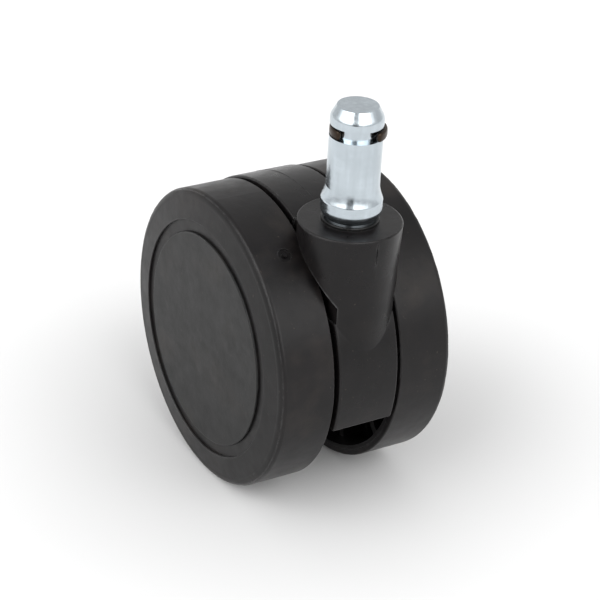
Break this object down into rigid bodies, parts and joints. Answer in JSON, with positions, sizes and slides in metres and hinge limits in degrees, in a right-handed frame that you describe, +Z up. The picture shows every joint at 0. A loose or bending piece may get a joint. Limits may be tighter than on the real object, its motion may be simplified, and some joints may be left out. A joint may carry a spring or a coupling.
{
  "type": "chair caster wheel",
  "caption": "Swivel chair caster: side-by-side wheels on one axle under a rounded hood, with a short plated grip-ring stem that plugs into a chair base.",
  "frame": {"origin": "on the stem axis, at the lower end of the stem's straight shank, where the chair's socket starts", "axes": "+Z up along the stem out of its free end, +X away from the trailing axle, +Y along the axle towards the left wheel"},
  "size_m": [0.0656, 0.0424, 0.0916],
  "materials": {
    "bright_zinc": "bright zinc plating, lightly satin",
    "spring_steel": "oil-blackened spring steel",
    "hood_nylon": "black moulded nylon, fine satin texture",
    "bush_acetal": "black acetal, smooth",
    "plain_steel": "ground steel, lightly greased",
    "tread_polyurethane": "black polyurethane, matt",
    "wheel_nylon": "black moulded nylon, satin",
    "cap_nylon": "black moulded nylon, fine satin texture"
  },
  "bodies": {
    "stem": {"stem": "bright_zinc", "grip_ring": "spring_steel", "stem_clip": "spring_steel"},
    "swivel_hood": {"hood": "hood_nylon", "stem_bush": "bush_acetal", "thrust_disc": "plain_steel", "axle": "plain_steel", "side_washer_left": "bush_acetal", "end_washer_left": "plain_steel", "axle_clip_left": "spring_steel", "side_washer_right": "bush_acetal", "end_washer_right": "plain_steel", "axle_clip_right": "spring_steel"},
    "wheel_left": {"tread_left": "tread_polyurethane", "wheel_core_left": "wheel_nylon", "hub_bush_left": "bush_acetal", "hub_cap_left": "cap_nylon"},
    "wheel_right": {"tread_right": "tread_polyurethane", "wheel_core_right": "wheel_nylon", "hub_bush_right": "bush_acetal", "hub_cap_right": "cap_nylon"}
  },
  "joints": [
    {"name": "swivel", "type": "hinge", "parent": "stem", "child": "swivel_hood", "pos_m": [0, 0, 0], "axis": [0, 0, 1], "continuous": true},
    {"name": "wheel_left_spin", "type": "hinge", "parent": "swivel_hood", "child": "wheel_left", "pos_m": [-0.0213, 0, -0.0438], "axis": [0, 1, 0], "continuous": true},
    {"name": "wheel_right_spin", "type": "hinge", "parent": "swivel_hood", "child": "wheel_right", "pos_m": [-0.0213, 0, -0.0438], "axis": [0, 1, 0], "continuous": true}
  ]
}
